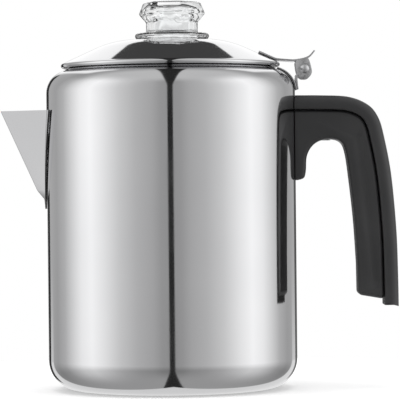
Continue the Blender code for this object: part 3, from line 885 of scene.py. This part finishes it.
def smooth_step(tree, value, low, high):
    made = tree.nodes.new("ShaderNodeMapRange")
    made.interpolation_type = "SMOOTHSTEP"
    tree.links.new(value, made.inputs["Value"])
    made.inputs["From Min"].default_value = low
    made.inputs["From Max"].default_value = high
    return made.outputs["Result"]


def blend_values(tree, share, low, high):
    """low where share is 0, high where it is 1."""
    spread = maths(tree, "SUBTRACT", high, low)
    return maths(tree, "MULTIPLY_ADD", spread, share, low)


def ramp(tree, factor, stops):
    made = tree.nodes.new("ShaderNodeValToRGB")
    tree.links.new(factor, made.inputs["Fac"])
    points = made.color_ramp.elements
    while len(points) < len(stops):
        points.new(0.5)
    for point, (position, grey) in zip(points, stops):
        point.position = position
        point.color = (grey, grey, grey, 1.0)
    return maths(tree, "MULTIPLY", made.outputs["Color"], 1.0)


# The studio that the steel mirrors. Directions are a unit vector's x, y and z: -y is towards the camera.
# The light tent's brightness round the horizon: degrees from the camera's direction, and brightness halved
TENT = (
    (0.0, 0.22), (9.0, 0.235), (17.0, 0.29), (32.0, 0.345), (48.0, 0.45), (65.0, 0.62), (79.0, 0.735),
    (92.0, 0.66), (104.0, 0.5), (117.0, 0.33), (132.0, 0.25), (150.0, 0.26), (180.0, 0.26),
)
TENT_GAIN = 2.0
TENT_TOP = 0.75  # brightness overhead
TENT_BACK = 0.42  # and high up behind the pot
TABLE_FAR = 0.62  # share of the tent's brightness that is left just below the horizon
TABLE_NEAR = 0.45  # brightness of the table in front of the pot, as the steel sees it
TABLE_BEHIND = 0.92  # and behind the pot
SLIT = 0.044  # half the width of the dark slit over the top, at the horizon
SLIT_TOP = 0.04  # added to it overhead
SLIT_BACK = 0.12  # and at the back
BACKDROP = 1.25  # brightness of the white backdrop
BACKDROP_FAR = 0.66  # and straight behind the pot
BACKDROP_TOP = 0.445  # height of the backdrop's upper edge in the middle
BOW = 5.4  # how fast that edge rises to both sides
DARK = 0.03  # brightness of what is darkest, the slit and the left band
DARK_BACK = 0.07  # and of the slit behind the pot
GLASS_WHITE = 0.65  # share of plain white in what is seen through the glass
# The two bands that the steel's sides show at the very edge: degrees from the far direction
LEFT_BAND = (13.0, 26.0)
RIGHT_BAND = (6.0, 23.0)
RIGHT_BAND_DEPTH = 0.85  # 1 would be as dark as the left one
BAND_EDGE = 0.7  # half the width of their soft edges


def banded(tree, value, low, high, soft):
    """1 between low and high, and 0 outside."""
    rise = smooth_step(tree, value, low - soft, low + soft)
    fall = smooth_step(tree, value, high - soft, high + soft)
    return maths(tree, "SUBTRACT", rise, fall)


def studio_world():
    """A light tent with a dark slit towards the camera and over the top, and a white backdrop behind."""
    world = bpy.data.worlds.new("studio")
    bpy.context.scene.world = world
    world.use_nodes = True
    tree = world.node_tree
    tree.nodes.clear()
    place = tree.nodes.new("ShaderNodeTexCoord")
    parts = tree.nodes.new("ShaderNodeSeparateXYZ")
    tree.links.new(place.outputs["Generated"], parts.inputs["Vector"])
    x, y, z = parts.outputs
    backwards = maths(tree, "MULTIPLY", y, -1.0)
    below = maths(tree, "MULTIPLY", z, -1.0)
    to_side = maths(tree, "ABSOLUTE", x)

    azimuth = maths(tree, "ABSOLUTE", maths(tree, "ARCTAN2", x, backwards))
    half_turns = maths(tree, "DIVIDE", azimuth, math.pi)
    walls = ramp(tree, half_turns, [(angle / 180.0, grey) for angle, grey in TENT])
    walls = maths(tree, "MULTIPLY", walls, TENT_GAIN)
    lit = blend_values(tree, smooth_step(tree, z, 0.55, 0.9), walls, TENT_TOP)
    behind_top = maths(tree, "MULTIPLY", smooth_step(tree, y, 0.1, 0.6), smooth_step(tree, z, 0.5, 0.7))
    lit = blend_values(tree, behind_top, lit, TENT_BACK)

    # The light is dimmer below the horizon, and the table in front of the pot is dimmest
    dimmed = maths(tree, "MULTIPLY", lit, TABLE_FAR)
    lit = blend_values(tree, smooth_step(tree, below, -0.02, 0.35), lit, dimmed)
    lit = blend_values(tree, smooth_step(tree, below, 0.3, 0.95), lit, TABLE_NEAR)

    # The slit: open over the top, wider overhead, and widest at the back where the dome mirrors it
    at_back = smooth_step(tree, y, 0.45, 0.62)
    steep = maths(tree, "ABSOLUTE", z)
    wide = maths(tree, "MULTIPLY_ADD", at_back, SLIT_BACK, SLIT)
    wide = maths(tree, "MULTIPLY_ADD", smooth_step(tree, steep, 0.3, 1.0), SLIT_TOP, wide)
    across = maths(tree, "DIVIDE", to_side, wide)
    lit = maths(tree, "MULTIPLY", lit, smooth_step(tree, across, 0.9, 1.08))
    lit = maths(tree, "MAXIMUM", lit, maths(tree, "MULTIPLY", at_back, DARK_BACK))

    # The table behind the pot is pale, where the pot's rounded foot mirrors it
    wedge = maths(tree, "MULTIPLY_ADD", to_side, -1.5, y)
    foot = maths(tree, "MULTIPLY", smooth_step(tree, wedge, -0.08, 0.0), smooth_step(tree, below, 0.02, 0.1))
    lit = blend_values(tree, foot, lit, TABLE_BEHIND)

    # Dark bands beside the far direction, one for each side of the pot
    far = maths(tree, "MULTIPLY", maths(tree, "ARCCOSINE", y), 180.0 / math.pi)
    upright = maths(tree, "MULTIPLY_ADD", steep, -0.6, to_side)
    aside = smooth_step(tree, upright, 0.08, 0.11)
    left = banded(tree, far, *LEFT_BAND, BAND_EDGE)
    left = maths(tree, "MULTIPLY", left, maths(tree, "LESS_THAN", x, 0.0))
    right = banded(tree, far, *RIGHT_BAND, BAND_EDGE)
    right = maths(tree, "MULTIPLY", right, maths(tree, "GREATER_THAN", x, 0.0))
    right = maths(tree, "MULTIPLY", right, RIGHT_BAND_DEPTH)
    bands = maths(tree, "MULTIPLY", maths(tree, "ADD", left, right), aside)
    lit = blend_values(tree, bands, lit, DARK)

    # The white backdrop, up to an edge that the dome mirrors as a bow
    edge = maths(tree, "MULTIPLY_ADD", maths(tree, "MULTIPLY", x, x), BOW, BACKDROP_TOP)
    under_edge = smooth_step(tree, maths(tree, "SUBTRACT", edge, z), -0.006, 0.006)
    behind = maths(tree, "MULTIPLY", smooth_step(tree, y, 0.45, 0.6), smooth_step(tree, z, 0.02, 0.05))
    backdrop = maths(tree, "MULTIPLY", under_edge, behind)
    on_dome = maths(tree, "SUBTRACT", 1.0, smooth_step(tree, upright, 0.0, 0.12))
    backdrop = maths(tree, "MULTIPLY", backdrop, on_dome)
    backdrop = maths(tree, "MULTIPLY", backdrop, maths(tree, "SUBTRACT", 1.0, bands))
    white = blend_values(tree, smooth_step(tree, far, 4.0, 16.0), BACKDROP_FAR, BACKDROP)
    lit = blend_values(tree, backdrop, lit, white)
    lit = maths(tree, "MAXIMUM", lit, DARK)

    path = tree.nodes.new("ShaderNodeLightPath")
    through_glass = maths(tree, "MULTIPLY", path.outputs["Is Transmission Ray"], GLASS_WHITE)
    plain = maths(tree, "MAXIMUM", path.outputs["Is Camera Ray"], through_glass)
    strength = blend_values(tree, plain, lit, 1.0)
    background = tree.nodes.new("ShaderNodeBackground")
    background.inputs["Color"].default_value = (1.0, 1.0, 1.0, 1.0)
    tree.links.new(strength, background.inputs["Strength"])
    output = tree.nodes.new("ShaderNodeOutputWorld")
    tree.links.new(background.outputs["Background"], output.inputs["Surface"])


def floor():
    bm = bmesh.new()
    bmesh.ops.create_circle(bm, cap_ends=True, segments=128, radius=240)
    made = linked("table_top", bm)
    made.location.z = -GAP * MM
    surface = Surface("table_white", (0.86, 0.86, 0.86), 0.9)
    surface.tint(surface.noise(3.0), (0.85, 0.85, 0.85), (0.87, 0.87, 0.87))
    surface.set("Emission Color", (1.0, 1.0, 1.0, 1.0))
    surface.set("Emission Strength", 0.3)
    made.data.materials.append(surface.material)
    made.visible_glossy = False


def lamp(name, place, aim, size, power):
    """A soft area lamp that lights the table and the black mouldings, and isn't mirrored in the steel."""
    light = bpy.data.lights.new(name, "AREA")
    light.shape = "DISK"
    light.size = size * MM
    light.energy = power
    made = bpy.data.objects.new(name, light)
    made.location = Vector(place) * MM
    made.rotation_euler = (Vector(aim) - Vector(place)).to_track_quat("-Z", "Y").to_euler()
    made.visible_glossy = False
    made.visible_transmission = False
    bpy.context.scene.collection.objects.link(made)


def camera():
    data = bpy.data.cameras.new("camera")
    data.lens = LENS
    data.sensor_width = 36.0
    made = bpy.data.objects.new("camera", data)
    turn = (AIM - EYE).to_track_quat("-Z", "Y").to_matrix().to_4x4()
    made.matrix_world = Matrix.Translation(EYE * MM) @ turn @ Matrix.Rotation(math.radians(ROLL), 4, "Z")
    bpy.context.scene.collection.objects.link(made)
    bpy.context.scene.camera = made


# ---- build -----------------------------------------------------------------------------------------------

SURFACES = {
    "polished_steel": polished_steel(),
    "hinge_steel": hinge_steel(),
    "inner_steel": inner_steel(),
    "black_plastic": black_plastic(),
    "clear_glass": clear_glass(),
}

piece(pot(), "polished_steel", "pot", "pot_body")
channel = spout()
piece(channel, "polished_steel", "pot", "spout", 30)
# The spout's edge faces get the dark painted shade of the gap as their second material.
channel.data.materials.append(painted_gap_shade())
piece(handle_band(), "black_plastic", "pot", "handle_spine")
piece(handle_web(), "black_plastic", "pot", "handle_grip")
piece(hinge_plate(), "hinge_steel", "pot", "hinge_seat")
piece(hinge_strut(), "hinge_steel", "pot", "hinge_bracket")
piece(lid(), "polished_steel", "lid", "lid_shell")
piece(hinge_strip(), "hinge_steel", "lid", "hinge_leaf")
piece(hinge_rivet(), "hinge_steel", "lid", "hinge_pin")
piece(knob(), "clear_glass", "knob", "glass_knob", 24)
piece(stem_tube(), "inner_steel", "stem", "stem_tube")
piece(stem_bell(), "inner_steel", "stem", "stem_base")
piece(stem_stop(), "inner_steel", "stem", "stem_stop")
piece(basket_sleeve(), "inner_steel", "basket", "basket_tube")
piece(basket(), "inner_steel", "basket", "basket_shell")
piece(basket_lid(), "inner_steel", "cover", "basket_cover")
for kept in ("handle_bracket", "handle_screw", "handle_washer", "handle_nut"):
    paint(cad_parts[kept], "hinge_steel")

bpy.context.scene.view_settings.view_transform = "Standard"
studio_world()
floor()
lamp("overhead", (0, 0, 1500), (0, 0, 0), 1400, 12.0)
camera()
